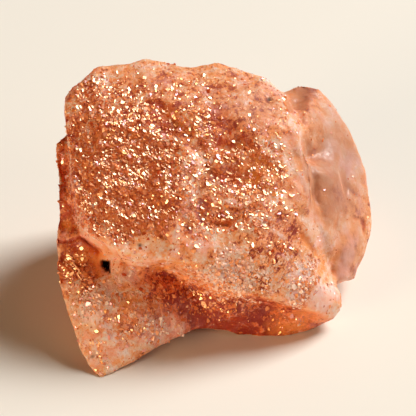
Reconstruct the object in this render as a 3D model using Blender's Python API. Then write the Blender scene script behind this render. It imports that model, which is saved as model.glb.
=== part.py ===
"""Rough sunstone: one broken lump of feldspar, about 38 mm across.

The lump is drawn as blocks between fracture faces: a slab with the broad glittering face,
the body under it, a foot that reaches down and forward, a belly, and a lobe behind.
They are joined in one solid, worn along the edges, and then worked like clay: hollows where
flakes have spalled off, a step across the broad face, the ledge under it, a small pit, and
many small fracture faces. Last the lump is ground flat where it rests.
Lengths are in millimetres and become metres in placed().
"""

import math

import bmesh
import bpy
import numpy as np
from mathutils import Vector, noise

MM = 0.001
NAME = "sunstone"

# The broad face leans back, so the blocks are drawn square to a line of sight that looks down on it.
SIGHT_TILT = math.radians(35.0)
REST_BELOW = 11.9  # the resting plane, below the middle of the lump
VOXEL = 0.50  # grain of the joined solid before it is thinned
WEAR_PASSES = 3  # smoothing passes that round the edges
TRIANGLES_KEPT = 8400

# Corners of each block: across to the right, up, and toward the eye.
SLAB = [
    (-14.0, -2.8, 8.0), (-11.7, -5.4, 7.6), (-5.2, -5.7, 8.2), (-1.6, -5.5, 8.6),
    (6.0, -3.4, 8.0), (11.7, 1.7, 4.6), (10.9, 6.9, 4.2), (10.4, 11.8, 2.4),
    (8.6, 15.9, -1.5), (4.3, 18.0, -2.0), (0.6, 19.2, -1.5), (-8.3, 19.4, -0.5),
    (-14.3, 18.3, 0.0), (-18.0, 14.6, 1.0), (-17.6, 10.6, 3.6), (-17.0, 4.5, 5.5),
    (-15.6, 1.1, 7.0), (-13.0, 11.0, 6.4), (6.0, 11.5, 5.4), (-4.0, 13.0, 5.6),
    (-3.0, 2.0, 8.4), (-16.5, 12.0, -9.0), (-16.0, 2.0, -9.0), (7.0, 13.0, -12.0),
    (9.0, -3.0, -9.0), (6.6, 17.2, -2.0), (12.1, 4.4, 2.4), (11.6, 8.5, 1.4),
]
BODY = [
    (-19.3, 8.9, -0.6), (-19.1, 3.3, 0.5), (-18.9, -3.4, 1.5), (-18.9, -5.5, 2.8),
    (-14.5, -5.0, 5.8), (-18.2, 10.0, -3.0), (-17.5, 8.0, -11.0), (-17.0, -2.0, -8.0),
    (-4.0, -6.6, 6.6), (-3.0, -13.4, 2.8), (-8.0, -12.0, 1.0), (8.0, -14.2, -1.0),
    (11.0, -6.0, 3.0), (11.0, 6.0, 1.8), (-12.0, 13.0, -9.0), (4.0, 14.5, -10.0),
    (-13.0, 5.5, -15.5), (3.0, 8.5, -16.5), (10.0, 3.0, -17.0), (-11.0, -1.5, -13.5),
    (2.0, -0.5, -17.0), (-6.0, -7.4, -11.0), (0.0, -5.6, -13.5), (10.0, -5.6, -12.0),
    (12.0, -2.0, -13.0), (-15.5, -5.0, -9.0), (-13.5, -4.0, -12.5), (-9.0, -4.6, -14.0),
]
FOOT = [
    (-19.2, -5.0, 3.6), (-18.6, -8.1, 4.2), (-17.2, -11.6, 5.0), (-15.9, -14.6, 5.6),
    (-15.3, -17.4, 6.0), (-13.5, -19.5, 6.4), (-11.0, -18.0, 5.4), (-8.5, -16.2, 4.6),
    (-5.2, -15.1, 3.4), (-2.4, -13.5, 2.4), (-12.9, -7.0, 6.4), (-13.7, -12.5, 6.7),
    (-7.6, -10.0, 6.0), (-3.6, -8.4, 5.6), (-17.5, -6.0, -4.0), (-16.6, -10.3, -3.0),
    (-14.8, -14.0, 0.5), (-13.5, -16.6, 3.0), (-12.5, -12.0, -4.2), (-7.0, -12.3, -2.6),
    (-3.0, -11.5, -3.0), (-15.8, -7.8, -7.6), (-10.0, -8.6, -8.6), (-15.0, -6.2, -10.5),
    (-9.0, -6.9, -12.0),
]
BELLY = [
    (-4.0, -6.4, 7.2), (0.8, -8.4, 7.2), (4.5, -9.6, 6.5), (8.7, -10.4, 5.0),
    (12.7, -12.0, 2.4), (-1.6, -5.5, 8.4), (6.0, -3.4, 8.0), (-0.7, -13.2, 1.4),
    (3.3, -14.6, 0.4), (6.9, -14.9, 0.0), (10.6, -14.2, -0.8), (13.2, -12.8, -1.5),
    (15.4, -12.2, -0.6), (15.8, -10.1, 0.2), (12.6, -8.3, 3.6), (14.0, -2.8, 1.6),
    (12.4, 1.6, 3.2), (8.0, -9.0, -9.0), (-2.0, -9.0, -6.0), (14.0, -6.0, -8.0),
]
LOBE = [
    (8.3, 15.6, -6.5), (11.2, 17.1, -8.0), (13.6, 16.1, -9.0), (15.2, 14.2, -9.0),
    (16.6, 11.7, -8.5), (18.3, 8.6, -8.5), (19.3, 5.7, -8.0), (20.0, 1.6, -7.5),
    (20.0, -0.7, -7.5), (19.4, -3.5, -7.0), (18.5, -6.8, -6.0), (17.0, -8.9, -4.6),
    (11.0, 12.0, -0.8), (11.6, 7.0, 1.7), (12.3, 1.6, 2.4), (14.8, 4.0, -0.4),
    (13.4, -1.6, 2.0), (15.6, -4.0, 0.0), (15.8, -7.4, -0.6), (8.0, 12.5, -15.0),
    (14.5, 8.0, -16.0), (16.5, 0.0, -14.5), (8.0, -1.0, -16.0), (10.0, -8.0, -6.0),
    (14.0, -5.0, -11.0), (6.5, 14.2, -9.0), (6.5, 13.4, -13.5), (5.5, 5.0, -17.2),
]

# Lines on the front, across and up.
BREAK = [(-3.4, 8.4), (-1.8, 6.4), (-2.2, 4.5), (-3.2, 2.1), (-4.0, -0.4), (-4.5, -2.8)]
LEDGE = [
    (-15.2, -1.3), (-13.7, -3.2), (-12.3, -5.0), (-10.7, -5.5), (-8.9, -5.4), (-6.4, -5.5),
    (-4.6, -5.8), (-2.8, -6.7), (-1.0, -7.8), (0.9, -8.6), (2.7, -9.1), (4.5, -9.6),
    (8.7, -10.4), (12.7, -12.0),
]
HIP = [(-1.6, -5.5), (1.5, -5.0), (3.9, -4.0), (5.9, -3.0), (8.1, -1.6), (10.6, 0.3)]

LEDGE_DEPTH, LEDGE_REACH, LIP_HEIGHT = 1.7, 3.6, 0.10
BREAK_STEP, HIP_HEIGHT = 1.0, 0.20
LINE_FADE = 0.12  # the share of its length over which a line fades at each end

# Shallow spalls: across, up, toward the eye, radius, depth.
HOLLOWS = [
    (3.8, 5.4, 7.0, 4.6, 0.5), (-2.4, 7.4, 8.0, 1.8, 0.4), (-2.7, 18.9, -1.0, 2.0, 0.8),
    (-18.6, 0.0, 1.5, 1.5, 0.6), (-13.4, -5.2, 6.5, 1.8, 0.7), (-3.8, -9.6, 6.0, 3.6, 0.9),
    (17.0, 7.2, -5.5, 1.8, 0.6), (15.4, -6.0, -0.5, 1.8, 0.8), (12.8, -5.0, 3.4, 2.2, 0.5),
    (-16.5, -9.5, 5.0, 2.0, 0.35), (6.0, -12.0, 5.0, 3.0, 0.5),
    (-17.0, 3.0, -5.0, 4.5, 1.3), (-6.0, 9.0, -14.0, 5.0, 1.6), (5.0, 1.5, -17.5, 4.5, 1.3),
    (-9.0, -1.0, -14.0, 3.5, 1.0), (17.0, 3.0, -13.0, 4.0, 1.1), (-15.0, -9.0, -1.5, 3.5, 1.0),
]
# Pits no wider than a pinhead, sunk along the sight: across, up, radius, depth.
PITS = [(-12.8, -5.8, 0.62, 1.7), (-8.6, -3.3, 0.4, 0.4), (6.8, 14.2, 0.4, 0.4)]
FRACTURES, FRACTURE_WIDTH, FRACTURE_DEPTH, FRACTURE_TILT = 90, 6.0, 0.22, 0.07
WAVES = [(7.0, 0.35), (3.0, 0.22), (1.5, 0.10)]
SOFTENING = 2  # passes that calm the skin after it is carved
SEED = 9
WELD = 2e-6


def placed(across, up, toward):
    """A point given across, up and toward the eye, in the row's axes, in metres."""
    sine, cosine = math.sin(SIGHT_TILT), math.cos(SIGHT_TILT)
    return Vector((across, up * sine - toward * cosine, up * cosine + toward * sine)) * MM


def block(name, corners):
    """The convex block that has these corners."""
    shape = bmesh.new()
    for corner in corners:
        shape.verts.new(placed(*corner))
    hull = bmesh.ops.convex_hull(shape, input=shape.verts)
    inner = [v for v in hull["geom_interior"] if isinstance(v, bmesh.types.BMVert)]
    bmesh.ops.delete(shape, geom=inner, context="VERTS")
    bmesh.ops.recalc_face_normals(shape, faces=shape.faces)
    mesh = bpy.data.meshes.new(name)
    shape.to_mesh(mesh)
    shape.free()
    made = bpy.data.objects.new(name, mesh)
    bpy.context.scene.collection.objects.link(made)
    return made


def bake(thing):
    """Applies the modifiers that the object carries."""
    bpy.context.view_layer.update()
    seen = thing.evaluated_get(bpy.context.evaluated_depsgraph_get())
    done = bpy.data.meshes.new_from_object(seen)
    thing.modifiers.clear()
    thing.data = done


def joined(stone, block_to_add):
    """The stone with one more block joined to it."""
    join = stone.modifiers.new("join", "BOOLEAN")
    join.operation = "UNION"
    join.solver = "EXACT"
    join.object = block_to_add
    bake(stone)
    bpy.data.objects.remove(block_to_add)


def worn(stone):
    """The joined blocks as one even skin, with their edges rounded."""
    skin = stone.modifiers.new("skin", "REMESH")
    skin.mode = "VOXEL"
    skin.voxel_size = VOXEL * MM
    wear = stone.modifiers.new("wear", "SMOOTH")
    wear.factor = 0.5
    wear.iterations = WEAR_PASSES
    bake(stone)


def one_shell(stone):
    """Only the largest closed skin: a pocket shut in between the blocks is filled."""
    shape = bmesh.new()
    shape.from_mesh(stone.data)
    waiting = set(shape.verts)
    shells = []
    while waiting:
        shell = [waiting.pop()]
        for point in shell:
            for edge in point.link_edges:
                other = edge.other_vert(point)
                if other in waiting:
                    waiting.remove(other)
                    shell.append(other)
        shells.append(shell)
    shells.sort(key=len)
    for small in shells[:-1]:
        bmesh.ops.delete(shape, geom=small, context="VERTS")
    shape.to_mesh(stone.data)
    shape.free()
    print("shells", [len(shell) for shell in shells])


def softened(stone, passes):
    """The skin with its sharpest turns calmed."""
    calm = stone.modifiers.new("calm", "SMOOTH")
    calm.factor = 0.5
    calm.iterations = passes
    bake(stone)


def points_of(mesh):
    """The mesh's points in millimetres, as rows."""
    flat = np.empty(len(mesh.vertices) * 3)
    mesh.vertices.foreach_get("co", flat)
    return flat.reshape(-1, 3) / MM


def normals_of(mesh):
    """The mesh's point normals, as rows."""
    flat = np.empty(len(mesh.vertices) * 3)
    mesh.vertex_normals.foreach_get("vector", flat)
    return flat.reshape(-1, 3)


def put_points(mesh, points):
    """Writes the points back, in millimetres."""
    mesh.vertices.foreach_set("co", (points * MM).ravel())
    mesh.update()


def sighted(points):
    """Points in the row's axes as across, up and toward the eye."""
    sine, cosine = math.sin(SIGHT_TILT), math.cos(SIGHT_TILT)
    x, y, z = points.T
    return np.stack([x, y * sine + z * cosine, z * sine - y * cosine], axis=1)


def from_line(seen, line):
    """How far points lie to the left of a line, across the sight, and how strong the line is there."""
    best = np.full(len(seen), np.inf)
    side, place = np.ones(len(seen)), np.zeros(len(seen))
    for number, ((x0, y0), (x1, y1)) in enumerate(zip(line, line[1:])):
        along = np.array([x1 - x0, y1 - y0])
        away = seen[:, :2] - (x0, y0)
        share = np.clip(away @ along / (along @ along), 0, 1)
        gap = np.hypot(*(away - share[:, None] * along).T)
        nearer = gap < best
        turned = along[0] * away[:, 1] - along[1] * away[:, 0]
        best = np.where(nearer, gap, best)
        side = np.where(nearer, np.where(turned < 0, -1, 1), side)
        place = np.where(nearer, (number + share) / (len(line) - 1), place)
    full = eased(place, 0.0, LINE_FADE) * eased(1 - place, 0.0, LINE_FADE)
    return best * side, full


def bell(distance, width):
    """One at no distance, falling smoothly to nothing."""
    return np.exp(-((distance / width) ** 2))


def eased(value, low, high):
    """Nothing below low, one above high, and a smooth rise between."""
    share = np.clip((value - low) / (high - low), 0, 1)
    return share * share * (3 - 2 * share)


def facing(normals):
    """How far each point faces the eye, from nothing to one."""
    toward = np.array(placed(0, 0, 1)) / MM
    return eased(normals @ toward, 0.0, 0.35)


def carved_front(mesh):
    """The ledge, the step across the broad face and the hip, pushed along the sight."""
    points, normals = points_of(mesh), normals_of(mesh)
    seen = sighted(points)
    front = facing(normals) * eased(seen[:, 2], -4.0, -1.0)
    toward = np.array(placed(0, 0, 1)) / MM
    push = np.zeros(len(points))

    above, full = from_line(seen, LEDGE)
    push -= full * LEDGE_DEPTH * eased(-above, 0.0, 0.9) * bell(above, LEDGE_REACH)
    push += full * LIP_HEIGHT * bell(above - 0.7, 1.0)

    right, full = from_line(seen, BREAK)
    push += full * BREAK_STEP * (eased(-right, -0.9, 0.6) - 0.5) * bell(right, 5.0)

    above, full = from_line(seen, HIP)
    push += full * HIP_HEIGHT * bell(above, 0.9)

    put_points(mesh, points + (push * front)[:, None] * toward)


def hollowed(mesh, hollows):
    """Shallow spalls, each sunk square to the skin around its middle."""
    for across, up, toward, radius, depth in hollows:
        points, normals = points_of(mesh), normals_of(mesh)
        centre = np.array(placed(across, up, toward)) / MM
        near = bell(np.linalg.norm(points - centre, axis=1), radius)
        out = near @ normals
        out /= np.linalg.norm(out)
        fair = np.clip(normals @ out, 0, 1)
        put_points(mesh, points - (depth * near * fair)[:, None] * out)


def pitted(mesh, pits):
    """Pits sunk straight along the sight into what faces the eye."""
    for across, up, radius, depth in pits:
        points, normals = points_of(mesh), normals_of(mesh)
        seen = sighted(points)
        near = bell(np.hypot(seen[:, 0] - across, seen[:, 1] - up), radius)
        front = facing(normals) * eased(seen[:, 2], -4.0, -1.0)
        put_points(mesh, points - (depth * near * front)[:, None] * np.array(placed(0, 0, 1)) / MM)


def fractured(mesh, count, widest, deepest, seed):
    """Small fracture faces: each shaves off what stands over a slightly tilted plane."""
    chance = np.random.default_rng(seed)
    for _ in range(count):
        points, normals = points_of(mesh), normals_of(mesh)
        at = chance.integers(len(points))
        tilt = chance.normal(0, FRACTURE_TILT, 3)
        normal = normals[at] + tilt
        normal /= np.linalg.norm(normal)
        radius = widest * chance.uniform(0.45, 1.0)
        gap = points - (points[at] - normals[at] * deepest * chance.uniform(0.3, 1.0))
        over = gap @ normal
        near = 1 - eased(np.linalg.norm(gap, axis=1), 0.4 * radius, radius)
        put_points(mesh, points - normal * (np.maximum(over, 0) * near)[:, None])


def rippled(mesh, waves):
    """Uneven ground at several scales: each a length and a height."""
    points, normals = points_of(mesh), normals_of(mesh)
    rise = np.zeros(len(points))
    for number, (length, height) in enumerate(waves):
        shift = Vector((17.0 * number, 5.0, 3.0))
        rise += height * np.array([noise.noise(Vector(p) / length + shift) for p in points])
    put_points(mesh, points + normals * rise[:, None])


def thinned(stone):
    """Fewer triangles, kept where the skin bends most."""
    count = sum(len(face.vertices) - 2 for face in stone.data.polygons)
    thin = stone.modifiers.new("thin", "DECIMATE")
    thin.ratio = TRIANGLES_KEPT / count
    bake(stone)


def ground_flat(stone):
    """Cuts the lump flat at its resting plane and puts its base in the middle of the row's origin."""
    shape = bmesh.new()
    shape.from_mesh(stone.data)
    everything = shape.verts[:] + shape.edges[:] + shape.faces[:]
    plane = Vector((0, 0, -REST_BELOW * MM))
    cut = bmesh.ops.bisect_plane(
        shape, geom=everything, plane_co=plane, plane_no=Vector((0, 0, -1)), clear_outer=True
    )
    rim = [e for e in cut["geom_cut"] if isinstance(e, bmesh.types.BMEdge)]
    bmesh.ops.holes_fill(shape, edges=rim)
    bmesh.ops.dissolve_degenerate(shape, dist=WELD, edges=shape.edges)
    bmesh.ops.triangulate(shape, faces=shape.faces)
    bmesh.ops.recalc_face_normals(shape, faces=shape.faces)
    low = Vector(min(v.co[axis] for v in shape.verts) for axis in range(3))
    high = Vector(max(v.co[axis] for v in shape.verts) for axis in range(3))
    middle = Vector(((low.x + high.x) / 2, (low.y + high.y) / 2, plane.z))
    bmesh.ops.translate(shape, vec=-middle, verts=shape.verts)
    shape.to_mesh(stone.data)
    shape.free()
    print("moved by", [round(value / MM, 2) for value in -middle])
    return -middle


def finished(stone):
    """Its own stone material: warm orange-brown, half polished by its cleavage faces."""
    surface = bpy.data.materials.new(NAME)
    surface.use_nodes = True
    shader = surface.node_tree.nodes["Principled BSDF"]
    shader.inputs["Base Color"].default_value = (0.48, 0.17, 0.07, 1.0)
    shader.inputs["Roughness"].default_value = 0.45
    shader.inputs["Metallic"].default_value = 0.0
    stone.data.materials.clear()
    stone.data.materials.append(surface)


def main():
    for old in list(bpy.data.objects):
        bpy.data.objects.remove(old)
    stone = block(NAME, BODY)
    for name, corners in (("slab", SLAB), ("foot", FOOT), ("belly", BELLY), ("lobe", LOBE)):
        joined(stone, block(name, corners))
    worn(stone)
    one_shell(stone)
    fractured(stone.data, FRACTURES, FRACTURE_WIDTH, FRACTURE_DEPTH, SEED)
    carved_front(stone.data)
    hollowed(stone.data, HOLLOWS)
    softened(stone, SOFTENING)
    rippled(stone.data, WAVES)
    pitted(stone.data, PITS)
    thinned(stone)
    finished(stone)
    return ground_flat(stone)


SHIFT = main()
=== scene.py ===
# %% [markdown]
# # A rough sunstone
#
# Sunstone is feldspar that holds thousands of tiny metal-bright flakes, most of them lying nearly
# the same way. This lesson dresses the packed solid: first a finer skin with worn fracture faces,
# then the flakes as real little plates, then the finishes, and last the floor, lights and camera.

import math

import bpy
import numpy as np
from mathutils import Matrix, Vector


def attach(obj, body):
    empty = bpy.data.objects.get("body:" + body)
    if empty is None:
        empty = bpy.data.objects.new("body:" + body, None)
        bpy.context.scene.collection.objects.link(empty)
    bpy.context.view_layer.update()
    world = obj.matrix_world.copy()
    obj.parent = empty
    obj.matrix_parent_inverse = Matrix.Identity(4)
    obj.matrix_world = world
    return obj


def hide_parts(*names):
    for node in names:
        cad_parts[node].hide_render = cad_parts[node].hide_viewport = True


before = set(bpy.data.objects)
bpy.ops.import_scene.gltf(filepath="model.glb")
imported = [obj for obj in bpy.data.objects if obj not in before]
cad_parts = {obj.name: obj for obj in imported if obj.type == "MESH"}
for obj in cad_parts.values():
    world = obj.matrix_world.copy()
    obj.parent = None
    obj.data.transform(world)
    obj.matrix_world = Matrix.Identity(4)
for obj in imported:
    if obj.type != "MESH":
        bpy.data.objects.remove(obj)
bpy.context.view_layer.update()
MM = 0.001
NODE = "sunstone"

# %% [markdown]
# The stone was drawn as the camera sees it, so its places are given the same way: across to the
# right, up, and toward the eye, in millimetres from the middle of the stone. One rotation turns
# them into the row's axes, and the same rotation turned round says where a point is seen.

# %% The line of sight
SIGHT_TILT = math.radians(35.0)
SIGHT_MIDDLE = np.array((-0.37, -1.59, 11.9))
SINE, COSINE = math.sin(SIGHT_TILT), math.cos(SIGHT_TILT)
TOWARD = np.array((0.0, -COSINE, SINE))


def placed(across, up, toward):
    """A point given as it is seen, in the row's axes, in metres."""
    seen = (across, up * SINE - toward * COSINE, up * COSINE + toward * SINE)
    return Vector(seen) * MM + Vector(SIGHT_MIDDLE) * MM


def sighted(points):
    """Points in metres as across, up and toward the eye, in millimetres."""
    x, y, z = (points / MM - SIGHT_MIDDLE).T
    return np.stack([x, y * SINE + z * COSINE, z * SINE - y * COSINE], axis=1)


print("toward the eye", [round(float(value), 2) for value in TOWARD])

# %% [markdown]
# A few helpers stand in for the mouse. One picks a piece and deselects all else, because an
# operator acts on all that is selected. One adds and applies a modifier, and two read a mesh's
# points and normals as rows of numbers.

# %% Hands
def pick(piece):
    """Selects one piece alone and makes it the active one."""
    bpy.ops.object.select_all(action="DESELECT")
    piece.select_set(True)
    bpy.context.view_layer.objects.active = piece


def modified(piece, kind, **settings):
    """Adds one modifier, sets it and applies it."""
    pick(piece)
    bpy.ops.object.modifier_add(type=kind)
    modifier = piece.modifiers[-1]
    for name, value in settings.items():
        setattr(modifier, name, value)
    bpy.ops.object.modifier_apply(modifier=modifier.name)


def points_of(mesh):
    """The mesh's points as rows, in metres."""
    flat = np.empty(len(mesh.vertices) * 3)
    mesh.vertices.foreach_get("co", flat)
    return flat.reshape(-1, 3)


def normals_of(mesh):
    """The mesh's point normals as rows."""
    flat = np.empty(len(mesh.vertices) * 3)
    mesh.vertex_normals.foreach_get("vector", flat)
    return flat.reshape(-1, 3)


print("the solid has", len(points_of(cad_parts[NODE].data)), "points")

# %% [markdown]
# The solid has the stone's lumps and ledges, but its faces are nearly a millimetre wide. The skin
# starts as a copy of it. Subdividing the copy would keep its large facets, so its loose triangles
# are merged instead, a voxel remesh gives an even net fine enough for grains, and a short smoothing
# takes the facets off.

# %% The skin
SKIN_VOXEL = 0.233 * MM
SAME_POINT = 1e-6


def skin_from_solid():
    """A finer copy of the CAD solid, as one closed net."""
    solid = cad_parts[NODE]
    skin = bpy.data.objects.new("stone_skin", solid.data.copy())
    bpy.context.scene.collection.objects.link(skin)
    pick(skin)
    bpy.ops.object.mode_set(mode="EDIT")
    bpy.ops.mesh.select_all(action="SELECT")
    bpy.ops.mesh.remove_doubles(threshold=SAME_POINT)
    bpy.ops.mesh.normals_make_consistent(inside=False)
    bpy.ops.object.mode_set(mode="OBJECT")
    modified(skin, "REMESH", mode="VOXEL", voxel_size=SKIN_VOXEL)
    modified(skin, "SMOOTH", factor=0.5, iterations=2)
    return skin


skin = skin_from_solid()
print("skin faces", len(skin.data.polygons))

# %% [markdown]
# What the photograph shows is uneven: glitter crowds on the broad face, the lip under it is pale,
# the belly is dark and smooth, and the hip below the lip is sugary. Each of these is a map: a few
# soft spots, given as across, up, half width, half height and strength. Painting them on
# an unwrapped skin would also work, but spots in numbers are easy to move and need no image.

# %% Soft spots
GLITTER = [
    (-10.3, 6.3, 6.6, 6.6, 1.3), (-9.5, 0.3, 4.5, 2.4, 1.3), (-14.7, 1.5, 2.0, 2.8, 1.3),
    (3.9, 5.2, 4.6, 4.6, 0.62), (-14.3, 15.0, 2.8, 2.6, 0.7), (-4.6, 15.2, 8.0, 2.2, 0.17),
    (-1.6, 11.5, 2.4, 2.4, 0.65), (1.0, 0.0, 3.6, 2.2, 0.6), (4.5, -0.4, 2.2, 1.4, 0.6),
    (-16.4, -6.2, 1.8, 2.2, 1.2), (-10.1, -11.9, 2.6, 2.6, 0.35), (-13.7, -14.6, 1.9, 1.2, 0.25),
    (11.5, -8.6, 1.3, 1.7, 0.6), (7.8, -4.0, 0.9, 1.4, 0.5), (0.2, -10.4, 4.4, 1.4, 0.7),
    (-2.8, -9.6, 1.4, 0.6, 1.2), (9.0, 10.0, 2.0, 5.0, 0.10), (8.0, -12.0, 3.0, 1.2, 0.3),
    (-4.6, -8.6, 3.2, 1.9, 0.7),
]
# Partly painted light: most pale spots are milky patches of the stone, but the two by the crease paint
# its lit slope, and the one on the lower right corner paints the glow of light through it.
PALE_AND_LIT_SPOTS = [
    (-13.7, -2.9, 1.9, 1.4, 0.65), (-9.2, -3.9, 2.9, 1.1, 0.55), (-5.0, -4.6, 2.0, 0.8, 0.5),
    (-1.9, -2.7, 2.2, 1.6, 0.75), (-2.5, 6.3, 1.0, 1.8, 0.5), (-3.4, 2.7, 0.6, 2.4, 0.6),
    (-10.4, 8.1, 0.9, 1.0, 0.5), (8.7, 11.8, 1.5, 2.6, 0.25), (9.3, 8.1, 1.6, 1.8, 0.7),
    (9.7, 5.1, 1.0, 2.0, 0.5), (-10.0, 17.4, 5.0, 1.3, 0.35), (2.3, -6.8, 3.4, 2.1, 1.1),
    (10.6, -7.9, 1.9, 2.4, 0.9), (13.8, -10.1, 1.8, 2.8, 1.3), (13.2, -2.8, 2.6, 2.0, 0.7),
    (12.1, 0.2, 0.9, 1.6, 0.6), (-14.1, -9.5, 1.8, 2.4, 1.1), (-14.1, -11.0, 0.9, 1.0, 1.5),
    (-14.3, -13.2, 1.3, 1.2, 0.5), (-13.1, -16.4, 2.8, 2.2, 0.6), (-12.5, -12.0, 4.6, 6.0, 0.75),
    (-6.1, -13.7, 3.2, 2.2, 0.9), (-5.6, -8.6, 1.6, 0.9, 0.4), (-17.7, -2.3, 0.9, 0.5, 0.7),
    (14.3, 8.1, 0.9, 1.0, 0.6), (17.8, 4.5, 1.2, 2.5, 0.35), (14.6, 12.6, 1.6, 1.4, 0.6),
    (5.5, -12.8, 0.6, 0.5, 0.8), (10.3, -11.4, 0.8, 0.3, 0.7), (2.7, -11.4, 0.7, 0.3, 0.7),
    (-12.0, -8.2, 1.2, 0.8, 0.6),
]
# Partly painted shade: these darken the dimples of the broad face, the strip left of the slab's edge,
# the recess, the belly under the notch and the groove by the lobe. Some are the stone's own darker
# patches.
SHADE_AND_DARK_SPOTS = [
    (-14.3, 4.7, 2.4, 1.6, 0.7), (-6.4, 12.7, 1.8, 1.2, 1.0), (-5.2, 11.2, 2.2, 1.8, 1.0),
    (0.2, 11.8, 2.0, 1.8, 0.8), (1.5, 8.7, 2.6, 1.4, 0.8), (2.3, 4.7, 1.8, 1.4, 0.8),
    (5.1, 5.7, 2.0, 1.6, 0.6), (-8.9, 1.5, 3.4, 2.0, 0.8), (-5.8, 0.2, 2.0, 1.8, 0.8),
    (-17.4, 11.2, 1.0, 1.6, 0.5), (-18.0, 5.1, 0.9, 4.0, 0.8), (-17.4, 0.2, 1.0, 2.2, 0.8),
    (-10.0, 7.5, 4.6, 4.2, 0.6), (-1.2, 0.5, 1.2, 1.3, 0.9), (1.8, -1.2, 0.9, 0.5, 0.6),
    (-17.2, -5.5, 1.8, 3.2, 0.8), (-6.4, -8.3, 3.0, 2.0, 0.15), (-1.6, -10.7, 3.0, 2.0, 0.5),
    (2.0, -12.8, 3.5, 1.6, 0.6), (11.6, 3.9, 0.8, 3.4, 0.3), (14.8, 2.7, 1.8, 3.0, 0.35),
    (18.5, -1.0, 0.5, 0.8, 0.7), (7.5, -1.6, 2.8, 2.2, 0.35), (4.6, 13.8, 4.0, 3.2, 0.2),
    (-4.0, 15.8, 9.0, 2.2, 0.25), (11.0, 14.5, 2.4, 2.0, 0.5), (-18.2, -0.5, 1.0, 4.0, 0.6),
    (-16.8, -4.2, 1.6, 1.6, 0.7),
]
# Partly painted shade: the belly is painted darker and redder, in part its own brown and in part the
# shade under the ledge where it faces down.
BELLY = [(3.5, -12.5, 12.0, 4.5, 1.0), (-4.0, -9.0, 4.0, 3.4, 0.9)]
LILAC = [
    (16.9, 6.7, 0.9, 2.2, 1.0), (16.6, -5.5, 1.2, 3.0, 0.8), (10.6, -7.9, 1.6, 2.2, 0.6),
    (-1.9, -2.8, 1.6, 1.4, 0.5), (-6.1, -13.7, 3.0, 2.0, 0.5), (-1.2, 0.5, 1.2, 1.3, 0.6),
    (-14.1, -10.6, 1.2, 1.4, 0.4), (3.0, -6.0, 3.0, 1.6, 0.3), (-17.7, -2.3, 0.9, 0.5, 0.6),
    (14.4, 8.0, 1.0, 1.4, 0.5),
]
AMBER = [
    (13.4, -9.6, 2.6, 3.0, 0.10), (10.4, 6.0, 1.4, 4.0, 0.35), (-4.0, 16.6, 8.0, 2.0, 0.3),
    (14.4, -4.4, 1.6, 1.6, 0.4), (-10.3, 6.3, 6.6, 6.6, 0.35), (3.9, 5.2, 4.6, 4.6, 0.35),
    (-9.5, 0.3, 4.5, 2.4, 0.45), (-14.3, -4.9, 1.4, 1.4, 1.0), (-17.4, -1.3, 0.9, 0.6, 0.9),
    (-12.9, 9.6, 1.2, 1.2, 0.7), (-8.9, 9.1, 0.6, 0.6, 1.0), (-4.4, 12.0, 1.4, 0.9, 0.8),
    (5.1, 5.7, 2.4, 2.1, 1.0), (1.5, 8.1, 1.4, 0.8, 0.8), (-7.6, -1.0, 4.0, 1.0, 0.7),
    (9.3, 2.7, 1.4, 1.6, 0.6), (-0.4, 17.2, 3.0, 0.9, 0.6), (11.0, 6.3, 0.6, 1.0, 0.9),
    (12.7, 1.5, 0.9, 2.2, 0.8), (13.6, -0.1, 0.7, 1.0, 0.8), (15.4, -5.8, 1.6, 0.7, 0.9),
    (10.6, 14.4, 2.0, 1.3, 1.0), (10.4, 11.8, 0.7, 0.5, 0.8), (9.6, -12.3, 3.0, 1.1, 0.8),
    (-5.0, -5.7, 3.0, 0.6, 0.7), (-9.8, -10.7, 1.8, 2.4, 0.6), (1.8, -1.2, 1.1, 0.7, 1.0),
    (-17.6, -6.0, 0.9, 2.4, 0.5),
]
DUSKY = [
    (15.0, 6.0, 4.2, 9.0, 1.0), (17.0, -4.5, 2.4, 5.0, 0.6), (11.0, 14.5, 2.4, 2.0, 0.9),
    (4.8, 13.6, 3.4, 2.6, 0.35),
]
CALM = DUSKY + [
    (17.0, -4.5, 2.4, 5.0, 1.0), (13.8, -10.1, 2.2, 3.2, 0.45), (13.2, -2.8, 2.4, 2.4, 0.6),
    (-13.7, -2.9, 1.9, 1.4, 0.6), (-9.2, -3.9, 2.9, 1.1, 0.5), (-14.3, -13.2, 1.3, 1.2, 0.6),
    (-14.3, -4.9, 1.2, 1.2, 0.6),
]
SUGAR = [
    (2.3, -6.8, 3.4, 2.0, 1.0), (10.6, -7.9, 1.6, 2.2, 0.6), (-14.1, -10.5, 1.4, 2.0, 0.6),
    (-7.5, -13.2, 1.8, 1.2, 0.4), (6.5, -7.5, 1.6, 1.6, 0.5),
]
FIBRES = [(7.5, -1.6, 3.0, 2.4, 0.7), (7.2, -5.8, 2.2, 2.4, 1.0)]
DARK = [(6.8, 14.2, 0.2, 0.2, 1), (-8.6, -3.3, 0.2, 0.2, 1), (-14.3, -16.5, 0.2, 0.2, 0.8)]
MAPS = {
    "glitter": GLITTER, "pale": PALE_AND_LIT_SPOTS, "deep": SHADE_AND_DARK_SPOTS, "belly": BELLY, "lilac": LILAC, "amber": AMBER,
    "calm": CALM, "dusky": DUSKY, "fibres": FIBRES, "sugar": SUGAR, "dark": DARK,
}
print("spots", {name: len(spots) for name, spots in MAPS.items()})
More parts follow.
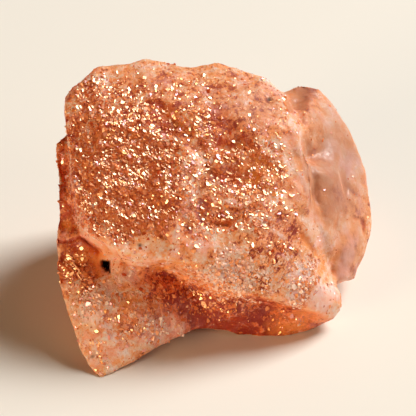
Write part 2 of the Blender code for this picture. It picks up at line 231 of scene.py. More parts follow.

# %% [markdown]
# Some marks are long and thin: the pale rim and lip, the crease across the broad face and the
# pale edges, which are in part painted highlights where they catch the light, the amber web
# beside the hip, and a painted shadow line under the ledge at the left. Each is drawn as a line of
# corners, across and up, and then gets a width and a strength. The belly's upper edge and the
# mouth of the small hole are drawn in the same way.

# %% Lines and outlines
RIM = [(6.7, 17.2), (9.7, 13.1), (10.7, 7.0), (9.7, 2.8), (6.7, 0.7), (2.5, -2.0), (-1.6, -4.1)]
LIP = [
    (-16.9, 5.0), (-16.2, 2.4), (-15.3, 0.1), (-14.4, -1.9), (-12.3, -3.4), (-9.2, -4.5),
    (-5.7, -4.7), (-2.1, -5.9), (2.4, -8.0),
]
CREASE = [(-3.4, 8.1), (-1.6, 6.3), (-2.4, 4.2), (-3.2, 2.1), (-4.5, -2.8)]
ARC = [(1.8, 1.7), (3.0, 1.3), (3.9, 1.5), (5.1, 2.3)]
HIP_EDGE = [(-5.2, -6.2), (-3.4, -7.2), (-1.6, -8.0), (0.2, -8.6), (2.7, -9.2), (5.6, -9.0)]
HIP_LINE = [(-0.4, -4.4), (3.3, -4.0), (5.1, -3.4)]
# Painted highlight: the slab's right edge catching the light where the rim meets the groove.
SLAB_EDGE_HIGHLIGHT = [(10.3, 11.2), (10.6, 6.9), (10.8, 4.5), (11.8, 1.5)]
SLAB_VEIN = [(7.2, 8.4), (9.0, 8.1), (10.4, 8.3)]
LEFT_EDGE = [(-18.1, 6.7), (-18.2, 3.3), (-17.4, 1.0), (-16.3, -0.6)]
LEFT_LINE = [(-17.1, 2.7), (-16.3, 0.2), (-15.2, -1.5)]
FOOT_ARC = [(-15.6, -12.6), (-14.3, -12.3), (-13.1, -12.5)]
WEB = [(10.6, -2.2), (12.4, -4.6), (13.2, -5.5), (12.7, -7.0)]
# Painted shadow: the dark line under the ledge's edge at the left, where the ledge shades the strip
# below it.
LEDGE_SHADOW_LINE = [(-18.7, -2.9), (-17.2, -2.9), (-16.0, -2.4), (-13.6, -4.0)]
LINES = {
    # The pale lines are in part the stone's own pale veins and cracks, and in part painted highlights
    # where the rim, the lip, the crease and the slab's edges catch the light.
    "pale": [
        (RIM, 1.0, 0.6), (LIP, 0.7, 0.5), (CREASE, 0.6, 0.7), (ARC, 0.22, 1.0), (HIP_EDGE, 0.26, 0.9),
        (HIP_LINE, 0.22, 0.8), (SLAB_EDGE_HIGHLIGHT, 0.26, 1.0), (SLAB_VEIN, 0.22, 0.9), (LEFT_EDGE, 0.25, 0.7),
        (LEFT_LINE, 0.28, 0.8), (FOOT_ARC, 0.22, 0.9),
    ],
    "amber": [(WEB, 0.40, 1.0), (HIP_EDGE, 0.5, 0.8)],
    "deep": [(LEDGE_SHADOW_LINE, 0.30, 0.9)],
}
# The small hole's mouth: the skin is sunk there, and it is also painted near black as painted shade
# inside the hole.
HOLE = [(-13.4, -5.15), (-12.3, -5.2), (-12.2, -6.7), (-12.8, -6.5), (-13.35, -5.9)]
BELLY_EDGE = [
    (-13.1, -4.1), (-9.1, -5.6), (-4.0, -6.4), (-1.9, -7.3), (2.5, -8.7), (5.6, -9.3), (12.3, -11.3),
    (14.8, -12.4),
]
print("lines", {name: len(lines) for name, lines in LINES.items()})

# %% [markdown]
# A map's value at a point is that of its strongest spot or line there. Noise makes the spots'
# edges ragged: it pushes them by some tenths of a millimetre, in patches of two widths, with a
# seed for each way. Where the stone turns away from the eye nobody knows its colours, so the spots
# fade and slow noise takes over. Every value is stored on the skin, for the finish to read.

# %% Maps of the surface
UNSEEN = {"glitter": 0.35, "pale": 0.35, "deep": 0.35, "amber": 0.3, "belly": 0.15, "calm": 0.2}
PATCH = 5.0
WAVES = 14
FAR = 99.0
RAGGED_BY = [(0.45, 4, (60, 61)), (0.25, 1.6, (62, 63))]
UNSEEN_SEED = 20


def eased(value, low, high):
    """Nothing below low, one above high, and a smooth rise between."""
    share = np.clip((value - low) / (high - low), 0, 1)
    return share * share * (3 - 2 * share)


def slow_noise(points, seed, patch=PATCH):
    """Smooth patches of a given width, from sums of waves in random directions."""
    chance = np.random.default_rng(seed)
    total = np.zeros(len(points))
    for _ in range(WAVES):
        direction = chance.normal(0, 1, 3)
        direction *= chance.uniform(0.6, 1.8) / np.linalg.norm(direction)
        total += np.sin(points / MM @ direction * 2 * math.pi / patch / 1.8 + chance.uniform(0, 7))
    return total / math.sqrt(WAVES / 2)


def line_gap(seen, line):
    """How far each seen place is from a line drawn on the front, in mm."""
    gap = np.full(len(seen), FAR)
    for start, end in zip(np.array(line[:-1]), np.array(line[1:])):
        run = end - start
        share = np.clip((seen[:, :2] - start) @ run / (run @ run), 0, 1)
        gap = np.minimum(gap, np.linalg.norm(seen[:, :2] - start - share[:, None] * run, axis=1))
    return gap


def inside_gap(seen, corners):
    """How far inside an outline each seen place is, in mm, its corners given clockwise."""
    gap = np.full(len(seen), FAR)
    for start, end in zip(np.array(corners), np.array(corners[1:] + corners[:1])):
        run = (end - start) / np.linalg.norm(end - start)
        aside = seen[:, :2] - start
        gap = np.minimum(gap, run[1] * aside[:, 0] - run[0] * aside[:, 1])
    return gap


def map_value(name, points, normals):
    """How strong one map is at each point, from nothing to one."""
    seen = sighted(points)
    faced = eased(normals @ TOWARD, -0.05, 0.3)
    ragged = seen[:, :2].copy()
    if name != "dark":
        for reach, patch, seeds in RAGGED_BY:
            ragged += reach * np.stack([slow_noise(points, seed, patch) for seed in seeds], axis=1)
    spots = np.zeros(len(points))
    for across, up, wide, high, strength in MAPS[name]:
        gap = ((ragged[:, 0] - across) / wide) ** 2 + ((ragged[:, 1] - up) / high) ** 2
        spots = np.maximum(spots, strength * np.exp(-(gap**1.5) * 0.7))
    for line, wide, strength in LINES.get(name, ()):
        spots = np.maximum(spots, strength * np.exp(-((line_gap(seen, line) / wide) ** 2)))
    # Painted shade: the inside of the small hole is painted dark.
    if name == "dark":
        spots = np.maximum(spots, eased(inside_gap(seen, HOLE), -0.12, 0.08))
    if name == "belly":
        edge = np.interp(seen[:, 0], *np.transpose(BELLY_EDGE))
        spots *= eased(edge - seen[:, 1], -0.1, 0.5)
    seed = UNSEEN_SEED + list(MAPS).index(name)
    hidden = eased(slow_noise(points, seed), -0.4, 1.6) * 2 * UNSEEN.get(name, 0)
    return faced * spots + (1 - faced) * np.clip(hidden, 0, 1)


def keep_attribute(mesh, name, values):
    """Stores one number a point, for the finishes to read."""
    attribute = mesh.attributes.new(name, "FLOAT", "POINT")
    attribute.data.foreach_set("value", values.astype(np.float32))


values = {name: map_value(name, points_of(skin.data), normals_of(skin.data)) for name in MAPS}
for name in MAPS:
    keep_attribute(skin.data, name, values[name])
print("maps", [attribute.name for attribute in skin.data.attributes if attribute.name in MAPS])

# %% [markdown]
# The edges that the net has rounded are drawn again, sharper: ridges along the rim, the lip, the
# crease and the hip, grooves under the lip and beside the lobe, a step under the ledge, and the
# small dark hole. Each is a line with a width and a height in millimetres. Pale patches swell a
# little, and deep and amber ones sink. They could be sculpted by hand, but each point of the front
# is pushed along the line of sight instead, so the edges stay where the photograph shows them.

# %% Edges drawn again
GROOVE = [(10.2, 13.5), (11.2, 10.0), (11.3, 6.3), (12.2, 1.5), (13.4, -3.5), (14.6, -8.0)]
UNDER_LIP = [
    (-17.9, 6.4), (-17.8, 3.4), (-16.9, 0.8), (-16.0, -1.6), (-14.9, -3.2), (-12.8, -4.5),
    (-10.0, -5.5),
]
EDGE_RIDGES = [
    (RIM, 0.9, 0.30), (LIP, 0.6, 0.45), (UNDER_LIP, 0.6, -0.7), (GROOVE, 0.8, -0.8),
    (CREASE, 0.5, 0.3), (HIP_EDGE, 0.5, 0.3),
]
STEP_DEPTH, STEP_REACH = 0.7, 2.8
HOLE_DEPTH = 1.4
LUMPS = 0.65


def edges_drawn(piece):
    """Raises the ridges, sinks the grooves, the ledge's underside and the hole, and says how far."""
    points = points_of(piece.data)
    seen = sighted(points)
    faced = eased(normals_of(piece.data) @ TOWARD, 0.1, 0.5)
    push = np.zeros(len(points))
    for line, wide, height in EDGE_RIDGES:
        push += height * np.exp(-((line_gap(seen, line) / wide) ** 2))
    across, up = np.transpose(BELLY_EDGE)
    below = np.interp(seen[:, 0], across, up) - seen[:, 1]
    left_end = eased(seen[:, 0], across[0], across[0] + 3)
    right_end = eased(seen[:, 0], across[-1] - 4, across[-1])
    ends = left_end * (1 - right_end)
    push -= STEP_DEPTH * ends * eased(below, -0.1, 0.35) * (1 - eased(below, 0.6, STEP_REACH))
    push -= HOLE_DEPTH * eased(inside_gap(seen, HOLE), -0.1, 0.25)
    push += LUMPS * (0.4 * values["pale"] - values["deep"] - 0.4 * values["amber"])
    moved = faced * push
    points += moved[:, None] * TOWARD * MM
    piece.data.vertices.foreach_set("co", points.ravel())
    piece.data.update()
    return np.abs(moved).max()


print("the skin moved by up to", round(float(edges_drawn(skin)), 2), "mm")

# %% [markdown]
# Feldspar breaks in small flat steps where it cleaves and in crumbs where it doesn't. Displace
# modifiers raise both: wide cells and clouds for the broken ground, and small sharp cells for the
# crumbs of the sugary places and of the glittering face. Each is held to its place by a vertex
# group made from the maps, so the calm patches and the outline stay smoother.

# %% Steps and crumbs
def group_from(piece, name, weights):
    """A vertex group whose weights are given one a point."""
    group = piece.vertex_groups.new(name=name)
    for index, weight in enumerate(weights):
        if weight > 0.02:
            group.add((index,), float(weight), "REPLACE")
    return group.name


def displaced(piece, kind, grain, height, group="", **settings):
    """Raises the skin by a procedural pattern whose features are one grain wide."""
    pattern = bpy.data.textures.new("pattern", type=kind)
    pattern.noise_scale = grain
    for name, value in settings.items():
        setattr(pattern, name, value)
    modified(
        piece, "DISPLACE", texture=pattern, texture_coords="LOCAL", strength=height,
        mid_level=0.5, vertex_group=group,
    )
    bpy.data.textures.remove(pattern)


calm = np.clip(values["belly"] * 0.8 + values["calm"], 0, 1)
edge_on = 1 - eased(np.abs(normals_of(skin.data) @ TOWARD), 0.1, 0.5)
broken = group_from(skin, "broken", (1 - 0.75 * calm) * (1 - 0.55 * edge_on))
sugary = group_from(skin, "sugary", np.clip(values["sugar"] + values["pale"] * 0.4, 0, 1) * (1 - calm))
glittery = group_from(skin, "glittery", np.clip(values["glitter"], 0, 1))
displaced(skin, "VORONOI", 1.9 * MM, 0.30 * MM, broken, distance_metric="DISTANCE")
displaced(skin, "CLOUDS", 0.9 * MM, 0.16 * MM, broken, noise_depth=2)
displaced(skin, "VORONOI", 0.62 * MM, 0.15 * MM, sugary, distance_metric="CHEBYCHEV")
displaced(skin, "VORONOI", 0.75 * MM, 0.14 * MM, glittery, distance_metric="MANHATTAN")
skin.vertex_groups.clear()
print("skin triangles", sum(len(face.vertices) - 2 for face in skin.data.polygons))

# %% [markdown]
# The flakes are hexagonal plates of copper and iron oxide. One is modelled first: a six-sided
# disc whose upper face is drawn in, so its rim catches the light. It is then copied by the
# thousand, each copy with corners of its own, turned, tilted, and set in or just over the skin.

# %% One flake
DRAWN_IN = 0.86


def flake_pattern():
    """The points and faces of one flake that is two units across."""
    bpy.ops.object.select_all(action="DESELECT")
    bpy.ops.mesh.primitive_cylinder_add(vertices=6, radius=1, depth=1, location=(0, 0, 0))
    flake = bpy.context.object
    bpy.ops.object.mode_set(mode="EDIT")
    bpy.ops.mesh.select_mode(type="FACE")
    bpy.ops.mesh.select_all(action="DESELECT")
    bpy.ops.object.mode_set(mode="OBJECT")
    for face in flake.data.polygons:
        face.select = face.normal.z > 0.9
    bpy.ops.object.mode_set(mode="EDIT")
    bpy.ops.transform.resize(value=(DRAWN_IN, DRAWN_IN, 1))
    bpy.ops.object.mode_set(mode="OBJECT")
    points = points_of(flake.data)
    faces = [tuple(face.vertices) for face in flake.data.polygons]
    bpy.data.objects.remove(flake)
    return points, faces


FLAKE_POINTS, FLAKE_FACES = flake_pattern()
print("one flake has", len(FLAKE_POINTS), "points and", len(FLAKE_FACES), "faces")

# %% [markdown]
# A flake needs a place to lie. Each triangle of the skin gives its corners, its area and the way it
# faces, and from the maps how much of each it holds.

# %% Places on the skin
def skin_triangles(piece):
    """Each triangle's corner numbers, corner places, facing and area."""
    mesh = piece.data
    mesh.calc_loop_triangles()
    corners = np.empty(len(mesh.loop_triangles) * 3, int)
    mesh.loop_triangles.foreach_get("vertices", corners)
    corners = corners.reshape(-1, 3)
    points, normals = points_of(mesh), normals_of(mesh)
    sides = points[corners]
    areas = np.linalg.norm(np.cross(sides[:, 1] - sides[:, 0], sides[:, 2] - sides[:, 0]), axis=1) / 2
    turned = normals[corners].sum(axis=1)
    turned /= np.linalg.norm(turned, axis=1)[:, None]
    return corners, sides, turned, areas


CORNERS, SIDES, TURNED, AREAS = skin_triangles(skin)
TRIANGLE_MAPS = {name: values[name][CORNERS].mean(axis=1) for name in MAPS}
print("skin area", round(AREAS.sum() / MM**2), "square mm")

# %% [markdown]
# In a crystal the flakes lie along its planes, so they flash together. A plane here is worked out
# from a light: it faces halfway between the light and the eye, and mirrors the one to the other.
# The upper plane answers to the large light, and the lower one to the panel near the floor.

# %% The crystal's planes
KEY_TURN, KEY_RISE = 120, 47
LOW_TURN, LOW_RISE = -46, 8


def direction(turn, rise):
    """A direction given in degrees: from the front towards the right, and up."""
    turn, rise = math.radians(turn), math.radians(rise)
    return np.array((math.sin(turn) * math.cos(rise), -math.cos(turn) * math.cos(rise), math.sin(rise)))


def mirror_plane(turn, rise):
    """The way a plate faces when it mirrors a light to the eye."""
    facing = direction(turn, rise) + TOWARD
    return facing / np.linalg.norm(facing)


HIGH_PLANE = mirror_plane(KEY_TURN, KEY_RISE)
LOW_PLANE = mirror_plane(LOW_TURN, LOW_RISE)
for plane in (HIGH_PLANE, LOW_PLANE):
    print("a plane faces", [round(float(value), 2) for value in plane])

# %% [markdown]
# One function strews every kind of flake. It draws triangles by their area and crowding, and gives
# each flake a spot, a tilt, a size and ragged corners. Particles could strew them too, but would
# have to be made real first. So all flakes of a kind become one mesh, built at once
# from lists, because thousands of operators would be slow.

# %% How flakes are strewn
LOWER_FROM, LOWER_FULL = 3.0, 5.0
WIDEST = 0.85


def strewn(name, count, crowding, size, spread, plane, tilt, thickness, sunk, seed):
    """Strews flakes over the skin.

    Crowding says where, size and spread how wide in mm, plane how far they follow the crystal's
    plane rather than the skin, tilt how unevenly, and thickness and sunk how thick and how deep,
    as shares of the width. From LOWER_FROM to LOWER_FULL mm below the middle, the lower plane
    takes over, and WIDEST is the log of the widest flake over the usual one.
    """
    chance = np.random.default_rng(seed)
    weight = AREAS * crowding
    chosen = chance.choice(len(AREAS), count, p=weight / weight.sum())
    shares = chance.dirichlet((1, 1, 1), count)
    middles = (SIDES[chosen] * shares[:, :, None]).sum(axis=1)
    low = eased(-sighted(middles)[:, 1], LOWER_FROM, LOWER_FULL)[:, None]
    planes = HIGH_PLANE * (1 - low) + LOW_PLANE * low
    follow = (TURNED[chosen] * planes).sum(axis=1)
    along_plane = plane * eased(follow, 0.5, 0.85)[:, None]
    normals = TURNED[chosen] * (1 - along_plane) + planes * along_plane
    normals += chance.normal(0, tilt, (count, 3))
    normals /= np.linalg.norm(normals, axis=1)[:, None]
    aside = np.cross(normals, chance.normal(0, 1, (count, 3)))
    aside /= np.linalg.norm(aside, axis=1)[:, None]
    along = np.cross(normals, aside)
    radius = size * MM / 2 * np.exp(np.minimum(chance.normal(0, spread, count), WIDEST))
    shape = FLAKE_POINTS[None] * np.array((1, 1, thickness))
    ragged = chance.uniform(0.45, 1.25, (count, len(FLAKE_POINTS) // 2)).repeat(2, axis=1)
    longer = chance.uniform(0.55, 1.0, count)
    u = shape[..., 0] * ragged
    v = shape[..., 1] * ragged * longer[:, None]
    w = shape[..., 2] - sunk * chance.uniform(0, 1, count)[:, None]
    spots = u[..., None] * aside[:, None] + v[..., None] * along[:, None]
    spots += w[..., None] * normals[:, None]
    points = middles[:, None] + spots * radius[:, None, None]
    faces = [
        tuple(corner + number * len(FLAKE_POINTS) for corner in face)
        for number in range(count) for face in FLAKE_FACES
    ]
    mesh = bpy.data.meshes.new(name)
    mesh.from_pydata(points.reshape(-1, 3).tolist(), [], faces)
    mesh.update()
    keep_attribute(mesh, "tone", chance.uniform(0, 1, count).repeat(len(FLAKE_POINTS)))
    keep_attribute(mesh, "polish", chance.uniform(0, 1, count).repeat(len(FLAKE_POINTS)))
    made = bpy.data.objects.new(name, mesh)
    bpy.context.scene.collection.objects.link(made)
    print(name, count, "flakes", len(faces), "faces")
    return made


# %% [markdown]
# The maps say where each kind crowds. Few lie on the smooth belly and the calm patches, and few of
# the bright and gold ones where the skin turns edge on to the eye, so the outline stays clean.
# Sandy and white crumbs of clear feldspar lie among them on the sugary hip and the pale patches.

# %% Strew the flakes
GLITTER_THERE = TRIANGLE_MAPS["glitter"]
PALE_THERE = TRIANGLE_MAPS["pale"]
SUGAR_THERE = TRIANGLE_MAPS["sugar"] + 0.03 * PALE_THERE * (1 - TRIANGLE_MAPS["calm"])
BELLY_THERE = TRIANGLE_MAPS["belly"]
ROUGH_THERE = 1 - 0.97 * np.clip(0.6 * BELLY_THERE + TRIANGLE_MAPS["calm"], 0, 1)
SEEN_THERE = 0.1 + 0.9 * eased(np.abs(TURNED @ TOWARD), 0.15, 0.6)
FACE_THERE = (0.05 + GLITTER_THERE) * ROUGH_THERE * SEEN_THERE
COPPER_THERE = (0.10 + GLITTER_THERE) * ROUGH_THERE
ROSE_THERE = (0.05 + GLITTER_THERE + 0.5 * PALE_THERE) * ROUGH_THERE
flakes_bright = strewn(
    "flakes_bright", 9400, FACE_THERE**1.4, size=0.37, spread=0.50, plane=0.87, tilt=0.155,
    thickness=0.10, sunk=-0.1, seed=11,
)
flakes_gold = strewn(
    "flakes_gold", 8600, FACE_THERE, size=0.30, spread=0.46, plane=0.7, tilt=0.22,
    thickness=0.10, sunk=0.0, seed=12,
)
flakes_copper = strewn(
    "flakes_copper", 7000, COPPER_THERE, size=0.26, spread=0.40, plane=0.5, tilt=0.26,
    thickness=0.10, sunk=0.15, seed=13,
)
flakes_rose = strewn(
    "flakes_rose", 2400, ROSE_THERE, size=0.38, spread=0.45, plane=0.85, tilt=0.16,
    thickness=0.10, sunk=0.0, seed=14,
)
milky_crumbs = strewn(
    "milky_crumbs", 2400, SUGAR_THERE, size=0.34, spread=0.46, plane=0.0, tilt=0.6,
    thickness=0.7, sunk=0.7, seed=15,
)

# %% [markdown]
# Shader maths reads best as plain sums. A Wire is one socket in a material's nodes: adding or
# multiplying wires adds the Math nodes, and its node method adds any other kind of node.

# %% Wires
class Wire:
    """One socket of a material's node tree."""

    def __init__(self, tree, socket=None):
        self.tree = tree
        self.socket = socket

    def node(self, kind, settings=None, inputs=None, output=0):
        """Adds a node: its settings first, then the values or links of its sockets."""
        made = self.tree.nodes.new(kind)
        for name, value in (settings or {}).items():
            setattr(made, name, value)
        for name, value in (inputs or {}).items():
            if isinstance(value, Wire):
                self.tree.links.new(value.socket, made.inputs[name])
            else:
                made.inputs[name].default_value = value
        return Wire(self.tree, made.outputs[output])

    def maths(self, operation, first, second=0.0):
        """Adds one Math node."""
        return self.node("ShaderNodeMath", {"operation": operation}, {0: first, 1: second})

    def __add__(self, other):
        return self.maths("ADD", self, other)

    def __sub__(self, other):
        return self.maths("SUBTRACT", self, other)

    def __rsub__(self, other):
        return self.maths("SUBTRACT", other, self)

    def __mul__(self, other):
        return self.maths("MULTIPLY", self, other)

    __radd__ = __add__

    def eased(self, low, high):
        """Nothing below low, one above high, and a smooth rise between."""
        inputs = {0: self, 1: low, 2: high, 3: 0.0, 4: 1.0}
        return self.node("ShaderNodeMapRange", {"interpolation_type": "SMOOTHSTEP"}, inputs)

    def noise(self, place, grain, detail=2.0, roughness=0.55, output=0):
        """Clouds whose lumps are one grain wide, in millimetres."""
        inputs = {"Vector": place, "Scale": 1 / (grain * MM), "Detail": detail, "Roughness": roughness}
        return self.node("ShaderNodeTexNoise", None, inputs, output)

    def cells(self, place, grain, feature="F1", output=0):
        """Cells one grain wide: the distance from each cell's middle, or its random colour."""
        inputs = {"Vector": place, "Scale": 1 / (grain * MM)}
        return self.node("ShaderNodeTexVoronoi", {"feature": feature}, inputs, output)

    def warped(self, place, grain, reach):
        """The place pushed about by clouds, so that cells on it lose their straight sides."""
        clouds = self.noise(place, grain, 2.0, 0.5, 1)
        middle = (0.5, 0.5, 0.5)
        push = self.node("ShaderNodeVectorMath", {"operation": "SUBTRACT"}, {0: clouds, 1: middle})
        settings = {"operation": "MULTIPLY_ADD"}
        return self.node("ShaderNodeVectorMath", settings, {0: push, 1: (reach * MM,) * 3, 2: place})

    def stretched(self, place, direction, ratio):
        """The place drawn out along a direction, so that patterns on it become strokes."""
        turn = Vector(direction).rotation_difference(Vector((1, 0, 0))).to_euler()
        turned = self.node("ShaderNodeMapping", None, {"Vector": place, "Rotation": turn})
        return self.node("ShaderNodeMapping", None, {"Vector": turned, "Scale": (ratio, 1, 1)})

    def mix(self, share, first, second):
        """A colour between two colours."""
        settings = {"data_type": "RGBA", "blend_type": "MIX"}
        return self.node("ShaderNodeMix", settings, {0: share, 6: first, 7: second}, 2)

    def attribute(self, name):
        """A number stored at each point of the piece."""
        return self.node("ShaderNodeAttribute", {"attribute_name": name}, None, 2)


def new_finish(name):
    """A material with its Principled shader, and a blank wire to build on."""
    finish = bpy.data.materials.new(name)
    finish.use_nodes = True
    tree = finish.node_tree
    return finish, tree.nodes["Principled BSDF"], Wire(tree)


def plug(wire, shader, name):
    """Feeds one of the shader's sockets."""
    wire.tree.links.new(wire.socket, shader.inputs[name])


print("a wire can", [name for name in vars(Wire) if not name.startswith("_")])

# %% [markdown]
# The stone itself is orange and a little see-through, so light is spread under its surface. A
# picture wrapped round it would bring shadows of its own, so its colour is laid in coats: brown to
# orange for the body, darker as painted shade in the hollows, the recess and on the belly; then
# peach and white where it is milky, and as painted highlights on lit edges and a painted glow on
# the corner; clouds of pink and of red brown, the red brown partly painted shade; a painted glow
# where it is clear, lilac where it is greyish, a dusky brown on the far lobe, white threads along
# its cracks, and a few dark specks, with the small hole painted near black as its shade. The maps
# say how much of each coat a place gets.

# %% The stone's finish
BROWN = (0.34, 0.020, 0.003, 1)
ORANGE = (0.88, 0.200, 0.042, 1)
SAND = (0.94, 0.36, 0.13, 1)
PEACH = (0.97, 0.55, 0.36, 1)
MILK = (1.0, 0.74, 0.66, 1)
CREAM = (1.0, 0.76, 0.65, 1)
GLOW = (0.98, 0.30, 0.045, 1)
SPECK_AND_HOLE_SHADE = (0.07, 0.020, 0.007, 1)
PINK = (0.96, 0.46, 0.42, 1)
GREY_LILAC = (0.97, 0.52, 0.53, 1)
DUSK = (0.38, 0.17, 0.11, 1)
RED_BROWN = (0.54, 0.055, 0.008, 1)
STROKE = placed(0.61, 0.79, 0) - placed(0, 0, 0)
FELDSPAR_IOR = 1.54


def stone_finish():
    """The body of the stone."""
    finish, shader, blank = new_finish("stone_finish")
    place = blank.node("ShaderNodeTexCoord", None, None, "Object")
    uneven = blank.warped(place, 0.7, 0.5)
    drift = blank.warped(place, 1.6, 1.5)
    clouds = blank.noise(place, 3.2, 3.0)
    blush = blank.noise(drift, 2.1, 2.0)
    veils = blank.noise(drift, 1.4, 5.0, 0.66)
    strokes = blank.noise(blank.stretched(place, STROKE, 0.2), 0.26, 2.0, 0.6)
    shards = blank.cells(uneven, 0.42, "F1", 1)
    dust = blank.cells(uneven, 0.20, "F1", 1)
    cracks = blank.cells(uneven, 1.3, "DISTANCE_TO_EDGE")
    pale = blank.attribute("pale")
    deep = blank.attribute("deep")
    calm = blank.attribute("calm")
    belly = blank.attribute("belly")
    fibres = blank.attribute("fibres")
    glitter = blank.attribute("glitter")
    sugar = blank.attribute("sugar")
    rough_there = 1.0 - calm * 0.9 - belly * 0.35
    grainy = rough_there * (0.5 + glitter * 0.9 + sugar * 1.7)

    fine = (shards - 0.5) * 0.9 + (dust - 0.5) * 0.6
    # Partly painted light: pale lightens the milky patches and the painted highlights and glow, and
    # deep and belly darken the stone's darker patches and the painted shade in hollows and on the
    # belly.
    level = pale * 0.36 - deep * 0.46 - belly * 0.33 - glitter * 0.14 + 0.49
    veins = (veils - 0.5) * (2.3 + glitter * 1.2 + sugar * 1.2 - calm * 1.3 - belly * 1.0)
    lines = (strokes - 0.5) * fibres * 2.2
    tone = level + veins + (clouds - 0.5) * (0.6 + calm) + fine * grainy + lines
    redder = (1.0 - belly * 0.7) * (1.0 - glitter * 0.5) * 0.45
    # Painted shade is also made redder: deep and belly turn the ground from sand to orange.
    ground = blank.mix(glitter * 0.8 + deep * 0.8 + belly, SAND, ORANGE)
    colour = blank.mix(tone.eased(0.0, 0.42), BROWN, ground)
    colour = blank.mix(tone.eased(0.40, 0.75), colour, PEACH)
    colour = blank.mix(tone.eased(0.74, 1.08), colour, MILK)
    colour = blank.mix((blush - 0.5 + pale * 0.2).eased(0.02, 0.25) * redder, colour, PINK)
    # Partly painted shade: red brown gathers in the deep spots' hollows and recesses, and in the
    # stone's own red-brown veils.
    colour = blank.mix((deep + veils * 0.8 - 0.4).eased(0.15, 0.85) * 0.7, colour, RED_BROWN)
    glow = blank.attribute("amber") * 0.9 + (clouds - veils) * 0.6
    colour = blank.mix(glow.eased(0.1, 1.0) * 0.80, colour, GLOW)
    greyish = (blank.attribute("lilac") + veils * 0.6 - 0.3).eased(0.1, 0.9) * 0.6
    colour = blank.mix(greyish, colour, GREY_LILAC)
    colour = blank.mix(blank.attribute("dusky") * 0.76, colour, DUSK)
    thread = (1.0 - cracks.eased(0.0, 0.07)) * (veils - 0.45).eased(0.0, 0.15) * rough_there
    colour = blank.mix(thread * (0.25 + pale * 0.5), colour, MILK)
    # The stone's own dark specks, and the small hole painted near black as its shade.
    colour = blank.mix(blank.attribute("dark"), colour, SPECK_AND_HOLE_SHADE)
    plug(colour, shader, "Base Color")

    plug(0.60 - shards * 0.35 + dust * 0.10, shader, "Roughness")
    lumps = shards * 0.5 + dust * 0.3 + strokes * fibres * 1.0 + veils * 1.4 + thread * 0.3
    lumps = lumps * rough_there * (1.0 - pale * 0.35)
    bump = blank.node("ShaderNodeBump", None, {"Strength": 0.9, "Distance": 0.22 * MM, "Height": lumps})
    plug(bump, shader, "Normal")
    shader.inputs["IOR"].default_value = FELDSPAR_IOR
    shader.inputs["Subsurface Weight"].default_value = 0.55
    shader.inputs["Subsurface Radius"].default_value = (0.7, 0.45, 0.30)
    shader.inputs["Subsurface Scale"].default_value = 1.8 * MM
    return finish


STONE_FINISH = stone_finish()
print("the stone's finish has", len(STONE_FINISH.node_tree.nodes), "nodes")

# %% [markdown]
# A fully metallic flake turns dark when it mirrors nothing. So each is a glossy plate in the
# stone's own rust and flame, and what it mirrors is tinted: cream, gold, copper, and now and then
# rose. Each flake has a tone and a polish of its own, stored when it was made. The tone sets its
# colour and the polish how sharply it mirrors.

# %% The flakes' finishes
def flake_finish(name, dull, bright, glance, ior, roughness):
    """Thin plates: their colour runs between two, and what they mirror is tinted by glance."""
    finish, shader, blank = new_finish(name)
    colour = blank.mix(blank.attribute("tone"), dull, bright)
    plug(colour, shader, "Base Color")
    plug(blank.attribute("polish") * 0.22 + roughness, shader, "Roughness")
    shader.inputs["IOR"].default_value = ior
    shader.inputs["Specular Tint"].default_value = glance
    return finish


def crumb_finish():
    """Crumbs of clear feldspar, sandy to white, bright where a face of one glances."""
    finish, shader, blank = new_finish("crumb_finish")
    colour = blank.mix(blank.attribute("tone").eased(0.05, 0.80), SAND, CREAM)
    plug(colour, shader, "Base Color")
    shader.inputs["Roughness"].default_value = 0.30
    shader.inputs["IOR"].default_value = FELDSPAR_IOR
    return finish


def wear(piece, finish):
    """Gives a piece its finish, its body and its slot."""
    piece.data.materials.clear()
    piece.data.materials.append(finish)
    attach(piece, "root")
    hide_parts(NODE)


pick(skin)
bpy.ops.object.shade_smooth()
wear(skin, STONE_FINISH)
RUST, FLAME = (0.54, 0.05, 0.008, 1), (0.97, 0.30, 0.10, 1)
ROSE, LILAC_FILM = (0.80, 0.26, 0.14, 1), (0.82, 0.42, 0.32, 1)
CREAM_GLANCE, GOLD_GLANCE = (1.0, 0.88, 0.58, 1), (1.0, 0.70, 0.30, 1)
COPPER_GLANCE, ROSE_GLANCE = (1.0, 0.45, 0.14, 1), (1.0, 0.62, 0.80, 1)
wear(flakes_bright, flake_finish("bright_flake", RUST, FLAME, CREAM_GLANCE, ior=2.6, roughness=0.12))
wear(flakes_gold, flake_finish("gold_flake", RUST, FLAME, GOLD_GLANCE, ior=2.2, roughness=0.14))
wear(flakes_copper, flake_finish("copper_flake", RUST, FLAME, COPPER_GLANCE, ior=1.95, roughness=0.16))
wear(flakes_rose, flake_finish("rose_flake", ROSE, LILAC_FILM, ROSE_GLANCE, ior=2.4, roughness=0.14))
wear(milky_crumbs, crumb_finish())
PIECES = (skin, flakes_bright, flakes_gold, flakes_copper, flakes_rose, milky_crumbs)
print("pieces", [piece.name for piece in PIECES])

# %% [markdown]
# The stone lies on a pale warm surface. A large soft light stands high to the right and a little
# behind, so the shadow falls to the left. A low warm panel at the front left lights the foot and
# the belly, a small one at the right lights the corner, and a faint one behind lifts the darks.
# Separate lights are used, and no picture of a room, so that each falls where it is wanted.

# %% Floor, lights and camera
FLOOR_COLOUR = (0.86, 0.845, 0.795, 1)
STONE_MIDDLE = Vector((0, 0, 12)) * MM
LENS, FILM_WIDTH = 180, 36
CAMERA_PLACE = placed(-0.6, 1.1, 252.5)


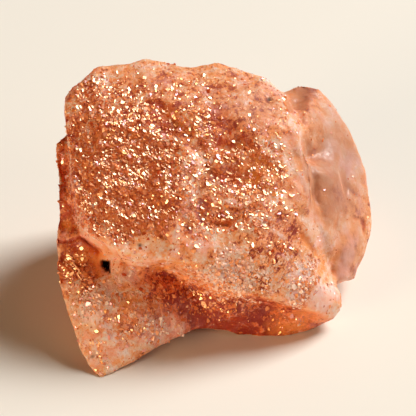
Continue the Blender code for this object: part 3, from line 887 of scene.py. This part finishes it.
def lay_floor():
    """A wide plain floor under the stone."""
    bpy.ops.object.select_all(action="DESELECT")
    bpy.ops.mesh.primitive_plane_add(size=3, location=(0, 0, 0))
    floor = bpy.context.object
    floor.name = "floor"
    finish, shader, blank = new_finish("floor_finish")
    shader.inputs["Base Color"].default_value = FLOOR_COLOUR
    shader.inputs["Roughness"].default_value = 0.75
    floor.data.materials.append(finish)


def hang_light(name, turn, rise, distance, size, watts, colour):
    """A square light that looks at the stone, its size and distance in metres."""
    out = Vector(direction(turn, rise))
    light = bpy.data.lights.new(name, "AREA")
    light.size = size
    light.energy = watts
    light.color = colour
    lamp = bpy.data.objects.new(name, light)
    lamp.location = STONE_MIDDLE + out * distance
    lamp.rotation_euler = out.to_track_quat("Z", "Y").to_euler()
    bpy.context.scene.collection.objects.link(lamp)


def fill_sky(colour, strength):
    """An even soft light from everywhere."""
    world = bpy.data.worlds.new("sky")
    world.use_nodes = True
    back = world.node_tree.nodes["Background"]
    back.inputs["Color"].default_value = colour
    back.inputs["Strength"].default_value = strength
    bpy.context.scene.world = world


def set_camera():
    """Looks down on the broad face as the photograph does."""
    data = bpy.data.cameras.new("camera")
    data.lens = LENS
    data.sensor_width = FILM_WIDTH
    data.clip_start = 0.01
    camera = bpy.data.objects.new("camera", data)
    camera.location = CAMERA_PLACE
    camera.rotation_euler = (math.pi / 2 - SIGHT_TILT, 0, 0)
    bpy.context.scene.collection.objects.link(camera)
    bpy.context.scene.camera = camera


lay_floor()
fill_sky((1.0, 0.55, 0.20, 1), strength=0.02)
hang_light(
    "key", KEY_TURN, KEY_RISE, distance=1.5, size=0.72, watts=28.9, colour=(1.0, 0.965, 0.91)
)
hang_light(
    "side_panel", turn=68, rise=20, distance=0.50, size=0.16, watts=0.34, colour=(1.0, 0.82, 0.62)
)
hang_light(
    "low_panel", LOW_TURN, LOW_RISE, distance=0.80, size=0.29, watts=4.4, colour=(1.0, 0.69, 0.41)
)
hang_light(
    "back_panel", turn=190, rise=50, distance=0.50, size=0.14, watts=0.06, colour=(1.0, 0.80, 0.60)
)
set_camera()
bpy.context.scene.view_settings.view_transform = "Standard"
print("lights", [light.name for light in bpy.data.lights])

# %% [markdown]
# Dressing must not change the stone's size.
